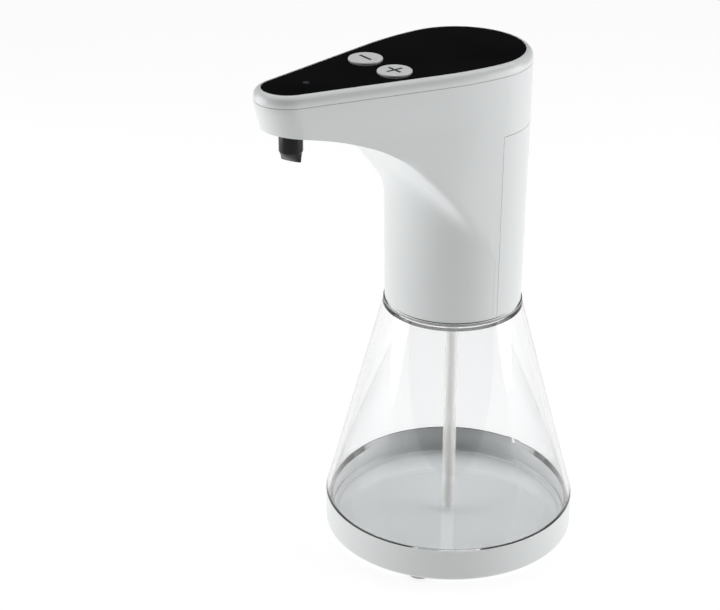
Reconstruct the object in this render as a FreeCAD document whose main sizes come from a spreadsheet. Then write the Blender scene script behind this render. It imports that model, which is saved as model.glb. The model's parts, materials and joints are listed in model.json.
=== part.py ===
import FreeCAD, Part
import math
import os
import re
import Sketcher

# Countertop soap dispenser with an infrared sensor: a clear conical bottle on a
# base cap, and a pump head whose arm reaches forward over the user's hand.
# Millimetres. +Z is up, the arm points to -Y, and the origin is where the
# bottle's axis meets the surface that the feet stand on.

doc = FreeCAD.newDocument("SoapDispenser")
sizes = doc.addObject("Spreadsheet::Sheet", "sizes")

DIMENSIONS = [
    ("foot_height", 2.0, "rubber foot below the base cap"),
    ("foot_radius", 5.6, "rubber foot"),
    ("foot_sink", 0.8, "depth of the foot's seat in the cap"),
    ("foot_inset", 7.4, "foot centre inside the cap's edge"),
    ("foot_angle", 53, "foot's direction from the X axis, degrees"),
    ("foot_round", 0.6, "foot's lower edge"),
    ("cap_radius", 58, "base cap, and the bottle's widest ring"),
    ("cap_height", 15.4, "base cap"),
    ("cap_wall", 1.4, "base cap side wall"),
    ("cap_floor", 1.6, "base cap floor"),
    ("cap_round", 1.2, "base cap's lower edge"),
    ("seat_gap", 0.1, "gap between pieces that rest in each other"),
    ("slip_gap", 0.15, "gap round a piece that slips in"),
    ("bottle_height", 98.6, "from the cap's rim to the shoulder"),
    ("bottle_wall", 2.0, "bottle wall"),
    ("floor_round", 3.0, "bottle floor's corners"),
    ("shoulder_radius", 31.5, "top of the bottle's cone"),
    ("shoulder_thick", 2.2, "flat shoulder inside the collar"),
    ("collar_radius", 31.4, "clear collar on the shoulder"),
    ("collar_height", 1.7, "clear collar"),
    ("collar_wall", 1.6, "clear collar"),
    ("spigot_radius", 27.0, "mouth tube that enters the head"),
    ("spigot_height", 10.0, "mouth tube above the shoulder"),
    ("spigot_wall", 2.4, "mouth tube"),
    ("head_gap", 0.4, "collar's top to the head's lower edge"),
    ("head_height", 111.5, "head's lower edge to the cover's seam"),
    ("neck_growth", 1.3, "how much the neck's radius grows up to the seam"),
    ("cover_height", 4.9, "top cover above the seam"),
    ("cover_round", 3.6, "top cover's upper edge"),
    ("cover_floor", 1.5, "deck under the black plate"),
    ("lip_depth", 2.0, "cover's locating lip below the seam"),
    ("lip_thick", 1.3, "cover's locating lip"),
    ("lip_inset", 0.5, "cover's locating lip inside the casing wall"),
    ("seam_gap", 0.2, "gap at the seams of the casing"),
    ("shell_wall", 2.2, "casing wall"),
    ("plate_back", 28.9, "black plate: radius of its rear half circle"),
    ("plate_side", 126, "black plate: radius of its long side arcs"),
    ("plate_tip", 11.1, "black plate: radius of its tip"),
    ("plate_reach", 98.9, "black plate: tip's distance from the axis"),
    ("plate_thick", 1.9, "black plate"),
    ("plate_sink", 0.1, "black plate below the cover's rim"),
    ("plate_gap", 0.12, "gap round the black plate"),
    ("rim_width", 3.3, "cover's rim round the black plate"),
    ("nose_overhang", 1.4, "nose's lower edge beyond the plate's tip"),
    ("nose_drop", 12.1, "nose's lower edge below the seam"),
    ("nose_slope", 5, "underside at the nose, degrees"),
    ("front_arc", 135, "underside arc under the arm"),
    ("mid_slope", 22, "underside where its two arcs meet, degrees"),
    ("root_arc", 62, "underside arc towards the neck"),
    ("root_slope", 49, "underside where it runs into the neck, degrees"),
    ("root_fillet", 17, "fillet between the neck and the underside, in the middle"),
    ("side_fillet", 3, "the same fillet at the neck's sides"),
    ("root_search", 2.5, "how near the arm's root its edge is looked for"),
    ("wedge_start", 2.0, "inner end of the space below the arm, from the axis"),
    ("tool_reach", 20.0, "how far a large cutting form passes its piece"),
    ("tool_margin", 5.0, "how far a small cutting form passes its piece"),
    ("lean_run", 4.6, "how far the nose leans back"),
    ("lean_drop", 17.6, "height over which the nose leans back"),
    ("lean_ease", 0.3, "nose's upright band under the seam, as an offset"),
    ("door_height", 84.7, "battery door, from the head's lower edge"),
    ("tongue_reach", 2.0, "door tongue inside the front shell"),
    ("tongue_length", 60, "door tongue"),
    ("tongue_thick", 1.0, "door tongue"),
    ("tongue_root", 2.0, "door tongue's root behind the seam"),
    ("tongue_gap", 0.1, "door tongue to the shell"),
    ("key_radius", 7.37, "key top"),
    ("key_proud", 0.7, "key above the black plate"),
    ("key_travel", 0.6, "key stroke"),
    ("key_gap", 0.25, "gap round a key"),
    ("key_round", 0.5, "key's upper edge"),
    ("key_flange", 1.3, "key's retaining flange beyond its side"),
    ("flange_thick", 1.0, "key's retaining flange"),
    ("key_side", 10.1, "key centre from the middle of the plate"),
    ("key_reach", 41.8, "key centre from the bottle's axis"),
    ("mark_length", 7.9, "bar of the key's mark"),
    ("mark_width", 1.2, "bar of the key's mark"),
    ("mark_depth", 0.3, "mark's inlay"),
    ("mark_proud", 0.05, "mark above its key"),
    ("light_radius", 1.4, "indicator lens"),
    ("light_reach", 79.1, "indicator from the bottle's axis"),
    ("light_flange", 0.8, "indicator lens flange beyond its side"),
    ("chip_width", 2.8, "indicator chip"),
    ("chip_height", 1.2, "indicator chip"),
    ("board_drop", 4.0, "top of the circuit board below the seam"),
    ("board_thick", 1.2, "circuit board"),
    ("board_inset", 0.6, "circuit board inside the plate's outline"),
    ("board_front", 81.0, "front end of the circuit board"),
    ("board_rear", 14.0, "rear end of the circuit board, behind the axis"),
    ("rear_screw_side", 13.0, "board's rear screws from the middle"),
    ("rear_screw_reach", 52.0, "board's rear screws from the axis"),
    ("tip_screw_side", 6.5, "board's front screws from the middle"),
    ("tip_screw_reach", 74.0, "board's front screws from the axis"),
    ("switch_width", 6.0, "key switch body"),
    ("switch_height", 2.6, "key switch body"),
    ("plunger_radius", 1.7, "key switch plunger"),
    ("plunger_gap", 0.1, "plunger to key, and plunger to its bore"),
    ("plunger_sink", 1.6, "plunger inside the switch body"),
    ("sensor_slope", 20.6, "underside slope at the sensor window, degrees"),
    ("window_radius", 4.9, "sensor window"),
    ("window_proud", 0.8, "sensor window below the underside"),
    ("window_thick", 3.0, "sensor window"),
    ("window_gap", 0.1, "gap round the sensor window"),
    ("diode_radius", 1.5, "infrared diode"),
    ("diode_spacing", 4.6, "emitter to receiver"),
    ("diode_length", 2.8, "infrared diode"),
    ("holder_wall", 1.9, "sensor holder ring"),
    ("holder_height", 3.0, "sensor holder ring"),
    ("sensor_board", 0.8, "sensor's own board"),
    ("nozzle_reach", 87.0, "nozzle axis from the bottle's axis"),
    ("nozzle_radius", 5.05, "nozzle sleeve"),
    ("nozzle_bore", 3.7, "nozzle sleeve's bore"),
    ("nozzle_drop", 22.6, "end of the sleeve below the seam"),
    ("nozzle_length", 11.5, "nozzle sleeve"),
    ("lip_drop", 4.5, "nozzle's flat lips below its sleeve"),
    ("lip_length", 8.75, "nozzle's flat lips"),
    ("bill_radius", 4.6, "round end of the nozzle's bill"),
    ("lip_wide", 1.6, "nozzle's flat lips, across"),
    ("lip_slit", 0.3, "slit between the nozzle's lips"),
    ("lip_turn", 24, "lips' turn from the X axis, degrees"),
    ("nozzle_gap", 0.3, "gap round the nozzle in the casing"),
    ("elbow_radius", 5.2, "elbow above the nozzle"),
    ("elbow_rise", 3.6, "elbow's top below the seam"),
    ("elbow_bore", 1.3, "liquid channel"),
    ("ear_thick", 1.6, "elbow's fixing ears"),
    ("ear_drop", 6.4, "underside of the elbow's ears below the seam"),
    ("ear_spacing", 19.0, "elbow's fixing screws"),
    ("boss_wall", 1.85, "casing boss round the nozzle"),
    ("boss_drop", 10.85, "casing boss's top below the seam"),
    ("post_radius", 2.2, "screw posts in the casing"),
    ("post_length", 30.0, "screw post before it is trimmed to the casing"),
    ("hose_outer", 2.9, "outlet hose"),
    ("hose_inner", 1.9, "outlet hose"),
    ("hose_bend", 26.0, "outlet hose's bend"),
    ("hose_drop", 8.5, "outlet hose in the arm, below the seam"),
    ("hose_end", 79.0, "front end of the outlet hose"),
    ("barb_radius", 1.85, "hose barbs"),
    ("barb_length", 8.0, "hose barbs"),
    ("tube_outer", 3.05, "dip tube"),
    ("tube_inner", 2.1, "dip tube"),
    ("tube_lift", 1.5, "dip tube's end above the bottle's floor"),
    ("nipple_radius", 2.0, "inlet nipple"),
    ("nipple_length", 12.0, "inlet nipple inside the dip tube"),
    ("carrier_thick", 2.4, "pump carrier disc"),
    ("carrier_gap", 0.3, "carrier's skirt to the mouth tube and the shell"),
    ("carrier_lift", 0.6, "carrier disc above the mouth tube"),
    ("valve_radius", 3.0, "air valve"),
    ("valve_side", 19.0, "air valve from the axis"),
    ("pump_back", 10.0, "pump's centre in front of the axis"),
    ("pump_wide", 26.0, "pump body"),
    ("pump_deep", 23.0, "pump body"),
    ("pump_offset", 3.0, "pump body's middle behind the gears"),
    ("pump_height", 10.0, "pump body"),
    ("pump_floor", 2.0, "pump body floor"),
    ("pump_lid", 2.5, "pump cover"),
    ("pump_screw_side", 11.6, "pump screws from the middle"),
    ("pump_screw_rear", 2.0, "pump's rear screws behind the axis"),
    ("pump_screw_front", 16.4, "pump's front screw in front of the axis"),
    ("gear_teeth", 8, "teeth on each pump gear"),
    ("gear_module", 1.25, "pump gears"),
    ("gear_pressure", 28, "pump gears' pressure angle, degrees"),
    ("gear_backlash", 0.25, "pump gears, at the pitch circle"),
    ("gear_addendum", 1.0, "pump gears"),
    ("gear_dedendum", 1.3, "pump gears"),
    ("gear_clearance", 0.15, "gears to the pump's cavity"),
    ("journal_radius", 1.6, "idler gear's journals"),
    ("journal_length", 1.2, "idler gear's journals"),
    ("bearing_gap", 0.05, "shafts in their bores"),
    ("boss_radius", 4.2, "pump's outlet boss"),
    ("outlet_reach", 23.5, "pump's outlet in front of the axis"),
    ("motor_radius", 10.0, "motor can"),
    ("motor_height", 26.0, "motor can"),
    ("motor_wall", 0.8, "motor can"),
    ("motor_cap", 3.0, "motor's end cap"),
    ("magnet_thick", 2.2, "motor magnets"),
    ("rotor_radius", 6.4, "motor rotor"),
    ("rotor_inset", 4.0, "rotor to the motor can's ends"),
    ("shaft_radius", 1.0, "motor shaft"),
    ("shaft_stub", 1.0, "motor shaft beyond its end cap"),
    ("seal_radius", 2.8, "shaft seal"),
    ("seal_height", 1.2, "shaft seal"),
    ("sleeve_wall", 1.1, "motor's seat on the pump cover"),
    ("sleeve_height", 4.0, "motor's seat on the pump cover"),
    ("cell_radius", 5.25, "AAA cell"),
    ("cell_length", 43.7, "AAA cell without its nub"),
    ("nub_radius", 1.9, "AAA cell nub"),
    ("nub_height", 0.8, "AAA cell nub"),
    ("cell_pitch", 11.0, "from one cell to the next"),
    ("cell_back", 12.0, "cells' centres behind the axis"),
    ("tray_wide", 46.4, "battery holder"),
    ("tray_wall", 1.2, "battery holder side wall"),
    ("tray_back", 15.5, "battery holder's rear edge behind the axis"),
    ("tray_floor", 4.0, "battery holder's lower end"),
    ("tray_top", 3.0, "battery holder's upper end"),
    ("contact_thick", 0.4, "contact plates"),
    ("contact_wide", 8.4, "contact plates"),
    ("spring_height", 3.6, "cell springs"),
    ("spring_wire", 0.5, "cell springs' wire"),
    ("spring_radius", 3.2, "cell springs"),
    ("spring_turns", 4, "cell springs"),
    ("screw_radius", 0.95, "screw shank"),
    ("screw_length", 5.0, "screw shank"),
    ("screw_head", 1.9, "screw head radius"),
    ("head_thick", 1.3, "screw head"),
    ("screw_gap", 0.15, "gap round a screw shank"),
]

for row, (name, size, note) in enumerate(DIMENSIONS, start=1):
    sizes.set("A%d" % row, name)
    sizes.set("B%d" % row, str(size))
    sizes.setAlias("B%d" % row, name)
    sizes.set("C%d" % row, note)
doc.recompute()
NAMES = {name for name, size, note in DIMENSIONS}

# Heights above the resting surface, as expressions of the named sizes.
CAP_TOP = "(foot_height + cap_height)"
BOTTLE_FLOOR = "(foot_height + cap_floor + seat_gap)"
LEDGE = "(foot_height + cap_height + slip_gap)"
SHOULDER = "(foot_height + cap_height + slip_gap + bottle_height)"
COLLAR_TOP = "(%s + collar_height)" % SHOULDER
SPIGOT_TOP = "(%s + spigot_height)" % SHOULDER
HEAD = "(%s + head_gap)" % COLLAR_TOP
SEAM = "(%s + head_height)" % HEAD
RIM = "(%s + cover_height)" % SEAM
PLATE_TOP = "(%s - plate_sink)" % RIM
PLATE_BASE = "(%s - plate_thick)" % PLATE_TOP
DECK_BASE = "(%s - cover_floor)" % PLATE_BASE
BOARD_TOP = "(%s - board_drop)" % SEAM
CARRIER = "(%s + carrier_lift)" % SPIGOT_TOP
PUMP = "(%s + carrier_thick)" % CARRIER
PUMP_TOP = "(%s + pump_height)" % PUMP
GEARS = "(%s + pump_floor + seat_gap)" % PUMP
GEAR_HEIGHT = "(pump_height - pump_floor - 2 * seat_gap)"
MOTOR = "(%s + pump_lid)" % PUMP_TOP
MOTOR_TOP = "(%s + motor_height)" % MOTOR
HOSE_LEVEL = "(%s - hose_drop)" % SEAM
PITCH_RADIUS = "(gear_module * gear_teeth / 2)"
NECK_RADIUS = "(plate_back + rim_width - neck_growth)"
TOP_RADIUS = "(plate_back + rim_width)"

# The underside is two arcs that meet at mid_slope. A point on the first one
# lies at its centre plus the arc's radius along the surface's normal.
FRONT_S = "(plate_reach + nose_overhang + front_arc * sin(nose_slope))"
FRONT_Z = "(%s - nose_drop - front_arc * cos(nose_slope))" % SEAM
ROOT_S = "(%s - (front_arc - root_arc) * sin(mid_slope))" % FRONT_S
ROOT_Z = "(%s + (front_arc - root_arc) * cos(mid_slope))" % FRONT_Z


def bound(text):
    """Return an expression in which each named size points at the sheet."""
    return re.sub(r"[a-z][a-z0-9_]*",
                  lambda word: "sizes." + word.group() if word.group() in NAMES else word.group(),
                  text)


def number(text):
    """Return an expression's value now, for a sketch's first geometry."""
    return float(sizes.evalExpression(text))


def bind(item, expressions):
    """Bind each named property of an object to an expression."""
    for path, text in expressions.items():
        item.setExpression(path, bound(text))


def place(item, x="0", y="0", z="0"):
    """Bind an object's position."""
    bind(item, {"Placement.Base.x": x, "Placement.Base.y": y, "Placement.Base.z": z})
    return item


def rod(name, radius, height, x="0", y="0", z="0"):
    """Make an upright cylinder from its base centre."""
    item = doc.addObject("Part::Cylinder", name)
    bind(item, {"Radius": radius, "Height": height})
    return place(item, x, y, z)


def leaning_rod(name, radius, height, along, x="0"):
    """Make a cylinder on the sensor's axis, starting so far inside the underside."""
    item = doc.addObject("Part::Cylinder", name)
    item.Placement = FreeCAD.Placement(FreeCAD.Vector(), FreeCAD.Rotation(FreeCAD.Vector(-1, 0, 0), 1))
    bind(item, {"Radius": radius, "Height": height, "Placement.Rotation.Angle": "sensor_slope"})
    sensor_y = "-(%s - front_arc * sin(sensor_slope)) + (%s) * sin(sensor_slope)" % (FRONT_S, along)
    sensor_z = "%s + front_arc * cos(sensor_slope) + (%s) * cos(sensor_slope)" % (FRONT_Z, along)
    return place(item, x, sensor_y, sensor_z)


def lying_rod(name, radius, length, y, z):
    """Make a cylinder that runs towards +Y from its forward end, in the middle plane."""
    item = doc.addObject("Part::Cylinder", name)
    item.Placement = FreeCAD.Placement(FreeCAD.Vector(), FreeCAD.Rotation(FreeCAD.Vector(-1, 0, 0), 90))
    bind(item, {"Radius": radius, "Height": length})
    return place(item, "0", y, z)


def block(name, width, depth, height, x="0", y="0", z="0"):
    """Make a box from the middle of its base."""
    item = doc.addObject("Part::Box", name)
    bind(item, {"Length": width, "Width": depth, "Height": height})
    return place(item, "%s - (%s) / 2" % (x, width), "%s - (%s) / 2" % (y, depth), z)


def fuse(name, *items):
    item = doc.addObject("Part::MultiFuse", name)
    item.Shapes = list(items)
    return item


def common(name, *items):
    item = doc.addObject("Part::MultiCommon", name)
    item.Shapes = list(items)
    return item


def cut(name, base, *tools):
    item = doc.addObject("Part::Cut", name)
    item.Base = base
    item.Tool = tools[0] if len(tools) == 1 else fuse(name + "Tools", *tools)
    return item


def group(name, items):
    item = doc.addObject("Part::Compound", name)
    item.Links = list(items)
    return item


def new_sketch(body, name, role, level="0"):
    """Start a sketch on one of the body's own origin planes, raised by level."""
    sketch = body.newObject("Sketcher::SketchObject", name)
    plane = [item for item in body.Origin.OriginFeatures if item.Role == role][0]
    sketch.AttachmentSupport = [(plane, "")]
    sketch.MapMode = "FlatFace"
    if level != "0":
        bind(sketch, {"AttachmentOffset.Base.z": level})
    return sketch


def dimension(sketch, kind, *fields):
    """Add a dimension whose last field is its expression."""
    text = fields[-1]
    index = sketch.addConstraint(Sketcher.Constraint(kind, *fields[:-1], number(text)))
    sketch.setExpression("Constraints[%d]" % index, bound(text))


def arc_between(start, end, radius, side):
    """Return the short arc from start to end, with its centre left (1) or right (-1)."""
    chord = end - start
    middle = (start + end) / 2
    rise = math.sqrt(max(radius ** 2 - (chord.Length / 2) ** 2, 0))
    normal = FreeCAD.Vector(-chord.y, chord.x, 0).normalize() * side
    centre = middle + normal * rise
    circle = Part.Circle(centre, FreeCAD.Vector(0, 0, 1), radius)
    first = math.atan2(start.y - centre.y, start.x - centre.x)
    last = math.atan2(end.y - centre.y, end.x - centre.x)
    if side < 0:
        first, last = last, first
    if last < first:
        last += 2 * math.pi
    return Part.ArcOfCircle(circle, first, last)


def draw(sketch, corners):
    """Draw a closed outline: corners are (u, v), or (u, v, radius, side) where an arc follows."""
    spots = [FreeCAD.Vector(number(corner[0]), number(corner[1]), 0) for corner in corners]
    ends = []
    for index, corner in enumerate(corners):
        start, end = spots[index], spots[(index + 1) % len(spots)]
        if len(corner) == 2:
            sketch.addGeometry(Part.LineSegment(start, end))
            ends.append((1, 2))
        else:
            sketch.addGeometry(arc_between(start, end, number(corner[2]), corner[3]))
            ends.append((1, 2) if corner[3] > 0 else (2, 1))
    for index, corner in enumerate(corners):
        following = (index + 1) % len(corners)
        sketch.addConstraint(Sketcher.Constraint("Coincident", index, ends[index][1],
                                                 following, ends[following][0]))
        for kind, text in (("DistanceX", corner[0]), ("DistanceY", corner[1])):
            dimension(sketch, kind, -1, 1, index, ends[index][0], text)
        if len(corner) == 4:
            dimension(sketch, "Radius", index, corner[2])


def turned(name, corners, x="0", y="0"):
    """Make a piece turned about an upright axis from its half section."""
    body = doc.addObject("PartDesign::Body", name)
    sketch = new_sketch(body, name + "Section", "XZ_Plane")
    draw(sketch, corners)
    turning = body.newObject("PartDesign::Revolution", name + "Turning")
    turning.Profile = sketch
    turning.ReferenceAxis = (sketch, ["V_Axis"])
    turning.Angle = 360
    return place(body, x, y)


def ring(name, inner, outer, low, high, x="0", y="0"):
    """Make a plain ring between two heights."""
    return turned(name, [(inner, low), (outer, low), (outer, high), (inner, high)], x, y)


def plan_outline(body, name, grow, level, shift="0"):
    """Draw the arm's plan: the black plate's outline, grown all round."""
    sketch = new_sketch(body, name, "XY_Plane", level)
    if shift != "0":
        bind(sketch, {"AttachmentOffset.Base.y": shift})
    back, side = number("plate_back"), number("plate_side")
    tip, reach = number("plate_tip"), number("plate_reach")
    spread = number(grow)
    centre = side - back
    tip_y = tip - reach
    taper = math.atan2(-tip_y, centre) - math.acos((side - tip) / math.hypot(tip_y, centre))
    half = math.pi

    def arc(x, y, radius, first, last):
        circle = Part.Circle(FreeCAD.Vector(x, y, 0), FreeCAD.Vector(0, 0, 1), radius)
        return Part.ArcOfCircle(circle, first, last)

    def on_circle(x, y, radius, angle):
        return FreeCAD.Vector(x + radius * math.cos(angle), y + radius * math.sin(angle), 0)

    left = half + taper
    right = 2 * half - taper
    pieces = [
        arc(0, 0, back + spread, 0, half),
        arc(centre, 0, side + spread, half, left),
        Part.LineSegment(on_circle(centre, 0, side + spread, left),
                         on_circle(0, tip_y, tip + spread, left)),
        arc(0, tip_y, tip + spread, left, right),
        Part.LineSegment(on_circle(0, tip_y, tip + spread, right),
                         on_circle(-centre, 0, side + spread, right)),
        arc(-centre, 0, side + spread, right, 2 * half),
    ]
    for piece in pieces:
        sketch.addGeometry(piece)
    for index in range(len(pieces)):
        following = (index + 1) % len(pieces)
        sketch.addConstraint(Sketcher.Constraint("Tangent", index, 2, following, 1))
    sketch.addConstraint(Sketcher.Constraint("Coincident", 0, 3, -1, 1))
    sketch.addConstraint(Sketcher.Constraint("PointOnObject", 3, 3, -2))
    sketch.addConstraint(Sketcher.Constraint("PointOnObject", 1, 3, -1))
    sketch.addConstraint(Sketcher.Constraint("PointOnObject", 5, 3, -1))
    dimension(sketch, "Radius", 0, "plate_back + (%s)" % grow)
    dimension(sketch, "Radius", 3, "plate_tip + (%s)" % grow)
    dimension(sketch, "DistanceY", 3, 3, -1, 1, "plate_reach - plate_tip")
    dimension(sketch, "DistanceX", -1, 1, 1, 3, "plate_side - plate_back")
    dimension(sketch, "DistanceX", 5, 3, -1, 1, "plate_side - plate_back")
    return sketch


def plan_slab(name, grow, low, thickness):
    """Make a flat slab with the arm's plan."""
    body = doc.addObject("PartDesign::Body", name)
    slab = body.newObject("PartDesign::Pad", name + "Pad")
    slab.Profile = plan_outline(body, name + "Outline", grow, low)
    bind(slab, {"Length": thickness})
    return body


def ruled_column(name, sections):
    """Make a column through plan outlines given as (grow, level, shift)."""
    body = doc.addObject("PartDesign::Body", name)
    outlines = [plan_outline(body, "%sOutline%d" % (name, index), *section)
                for index, section in enumerate(sections)]
    column = body.newObject("PartDesign::AdditiveLoft", name + "Loft")
    column.Profile = outlines[0]
    column.Sections = outlines[1:]
    column.Ruled = True
    return body


def underside_wedge(name, inset):
    """Make the space below the arm, lowered into the arm by inset."""
    front_radius = "(front_arc + %s)" % inset
    root_radius = "(root_arc + %s)" % inset
    nose_s = "(%s - %s * sin(nose_slope))" % (FRONT_S, front_radius)
    nose_z = "(%s + %s * cos(nose_slope))" % (FRONT_Z, front_radius)
    mid_s = "(%s - %s * sin(mid_slope))" % (FRONT_S, front_radius)
    mid_z = "(%s + %s * cos(mid_slope))" % (FRONT_Z, front_radius)
    root_s = "(%s - %s * sin(root_slope))" % (ROOT_S, root_radius)
    root_z = "(%s + %s * cos(root_slope))" % (ROOT_Z, root_radius)
    start_z = "(%s - (%s - wedge_start) * tan(root_slope))" % (root_z, root_s)
    far_s = "(plate_reach + 2 * tool_reach)"
    far_z = "(%s + (%s - %s) * tan(nose_slope))" % (nose_z, far_s, nose_s)
    floor_z = "(%s - tool_reach)" % HEAD
    body = doc.addObject("PartDesign::Body", name)
    sketch = new_sketch(body, name + "Side", "YZ_Plane")
    draw(sketch, [
        ("-wedge_start", floor_z),
        ("-wedge_start", start_z),
        ("-" + root_s, root_z, root_radius, 1),
        ("-" + mid_s, mid_z, front_radius, 1),
        ("-" + nose_s, nose_z),
        ("-" + far_s, far_z),
        ("-" + far_s, floor_z),
    ])
    wedge = body.newObject("PartDesign::Pad", name + "Pad")
    wedge.Profile = sketch
    wedge.SideType = "Symmetric"
    bind(wedge, {"Length": "4 * plate_back"})
    return body


def edges_near(shape, point, reach):
    """Return the names of the edges that pass within reach of a point."""
    probe = Part.Vertex(*point)
    return [index for index, edge in enumerate(shape.Edges, start=1)
            if edge.distToShape(probe)[0] < reach]


def head_form(name, inset, low, high):
    """Make the head's outer form, or its hollow when inset is the wall."""
    grow_top = "(rim_width - %s)" % inset
    grow_low = "(rim_width - neck_growth - %s)" % inset
    column = ruled_column(name + "Column", [(grow_low, low, "0"), (grow_top, high, "0")])
    wedge = underside_wedge(name + "Wedge", inset)
    neck = doc.addObject("Part::Cone", name + "Neck")
    bind(neck, {"Radius1": "plate_back + " + grow_low, "Radius2": "plate_back + " + grow_top,
                "Height": "%s - %s" % (high, low)})
    place(neck, z=low)
    arm = cut(name + "Arm", column, cut(name + "Below", wedge, neck))
    lean_grow = "(%s + lean_ease)" % grow_top
    lean_level = "(%s - lean_drop)" % SEAM
    lean = ruled_column(name + "Lean", [(lean_grow, "(%s - tool_reach)" % low, "lean_run"),
                                        (lean_grow, lean_level, "lean_run"),
                                        (lean_grow, SEAM, "0"),
                                        (lean_grow, "(%s + tool_reach)" % high, "0")])
    return common(name, arm, lean)


# ---------------------------------------------------------------- bottle side

SLOPE = "((cap_radius - shoulder_radius) / bottle_height)"
CONE_WALL = "(bottle_wall * sqrt(1 + %s * %s))" % (SLOPE, SLOPE)
LOW_RADIUS = "(cap_radius - cap_wall - slip_gap)"
INNER_LOW = "(%s - bottle_wall)" % LOW_RADIUS
MOUTH_RADIUS = "(spigot_radius - spigot_wall)"
GROOVE_RADIUS = "(collar_radius - collar_wall)"
SHOULDER_BASE = "(%s - shoulder_thick)" % SHOULDER
INSIDE_FLOOR = "(%s + bottle_wall)" % BOTTLE_FLOOR

bottle = turned("bottle", [
    ("0", BOTTLE_FLOOR),
    (LOW_RADIUS + " - floor_round", BOTTLE_FLOOR, "floor_round", 1),
    (LOW_RADIUS, BOTTLE_FLOOR + " + floor_round"),
    (LOW_RADIUS, LEDGE),
    ("cap_radius", LEDGE),
    ("shoulder_radius", SHOULDER),
    ("collar_radius", SHOULDER),
    ("collar_radius", COLLAR_TOP),
    (GROOVE_RADIUS, COLLAR_TOP),
    (GROOVE_RADIUS, SHOULDER),
    ("spigot_radius", SHOULDER),
    ("spigot_radius", SPIGOT_TOP),
    (MOUTH_RADIUS, SPIGOT_TOP),
    (MOUTH_RADIUS, SHOULDER_BASE),
    ("shoulder_radius + shoulder_thick * %s - %s" % (SLOPE, CONE_WALL), SHOULDER_BASE),
    ("cap_radius - slip_gap * %s - %s" % (SLOPE, CONE_WALL), LEDGE + " + slip_gap"),
    (INNER_LOW, LEDGE + " - bottle_wall"),
    (INNER_LOW, INSIDE_FLOOR + " + floor_round", "floor_round", -1),
    (INNER_LOW + " - floor_round", INSIDE_FLOOR),
    ("0", INSIDE_FLOOR),
])

# Four feet stand round the edge and one in the middle.
FOOT_X = "((cap_radius - foot_inset) * cos(foot_angle))"
FOOT_Y = "((cap_radius - foot_inset) * sin(foot_angle))"
FOOT_TOP = "(foot_height + foot_sink)"
FOOT_SPOTS = [("0", "0"), (FOOT_X, FOOT_Y), ("-" + FOOT_X, FOOT_Y), ("-" + FOOT_X, "-" + FOOT_Y),
              (FOOT_X, "-" + FOOT_Y)]
cap_shell = turned("capShell", [
    ("0", "foot_height"),
    ("cap_radius - cap_round", "foot_height", "cap_round", 1),
    ("cap_radius", "foot_height + cap_round"),
    ("cap_radius", CAP_TOP),
    ("cap_radius - cap_wall", CAP_TOP),
    ("cap_radius - cap_wall", "foot_height + cap_floor"),
    ("0", "foot_height + cap_floor"),
])
foot_seats = []
foot_pads = []
for index, (x, y) in enumerate(FOOT_SPOTS):
    foot_pads.append(turned("footPad%d" % index, [
        ("0", "0"),
        ("foot_radius - foot_round", "0", "foot_round", 1),
        ("foot_radius", "foot_round"),
        ("foot_radius", FOOT_TOP),
        ("0", FOOT_TOP),
    ], x, y))
    foot_seats.append(rod("footSeat%d" % index, "foot_radius + slip_gap", "foot_sink",
                          x, y, "foot_height"))
base_cap = cut("base_cap", cap_shell, *foot_seats)
feet = group("feet", foot_pads)

bottle_gasket = ring("bottle_gasket", "spigot_radius + seat_gap", GROOVE_RADIUS + " - seat_gap",
                     SHOULDER, HEAD)

# ---------------------------------------------------------------- head casing

outer_form = head_form("outerForm", "0", HEAD, SEAM)
hollow = head_form("hollowForm", "shell_wall", "(%s - tool_margin)" % HEAD, "(%s + tool_margin)" % SEAM)

# The fillet between the neck and the arm's underside is widest in the middle
# and runs out at the sides, so one half of the form is filleted and mirrored.
half_space = block("halfSpace", "4 * plate_back", "4 * plate_reach", "%s + tool_reach" % SEAM,
                   "2 * plate_back")
half_form = common("halfForm", outer_form, half_space)
doc.recompute()
ROOT_LEVEL = "(%s + root_arc * cos(root_slope) - (%s - root_arc * sin(root_slope) - %s) * tan(root_slope))"
arm_root = (0, -number(TOP_RADIUS), number(ROOT_LEVEL % (ROOT_Z, ROOT_S, TOP_RADIUS)))
root_edges = [index for index in edges_near(half_form.Shape, arm_root, number("root_search"))
              if half_form.Shape.Edges[index - 1].BoundBox.XMax > number("root_search")]
half_fillet = doc.addObject("Part::Fillet", "halfFillet")
half_fillet.Base = half_form
half_fillet.Edges = [(index, number("side_fillet"), number("root_fillet")) for index in root_edges]
other_half = doc.addObject("Part::Mirroring", "otherHalf")
other_half.Source = half_fillet
other_half.Normal = (1, 0, 0)
filleted = fuse("filletedForm", half_fillet, other_half)

door_space = block("doorSpace", "6 * plate_back", "4 * plate_back",
                   "door_height + seam_gap + tool_margin", "0", "2 * plate_back",
                   "%s - tool_margin" % HEAD)
sensor_hole = leaning_rod("sensorHole", "window_radius + window_gap", "4 * shell_wall",
                          "-2 * shell_wall")
nozzle_hole = rod("nozzleHole", "nozzle_radius + nozzle_gap", "5 * shell_wall + tool_reach",
                  y="-nozzle_reach", z="%s - nozzle_drop - tool_margin" % SEAM)
nozzle_boss = rod("nozzleBoss", "nozzle_radius + nozzle_gap + boss_wall", "nozzle_drop - boss_drop",
                  y="-nozzle_reach", z="%s - nozzle_drop" % SEAM)

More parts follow.
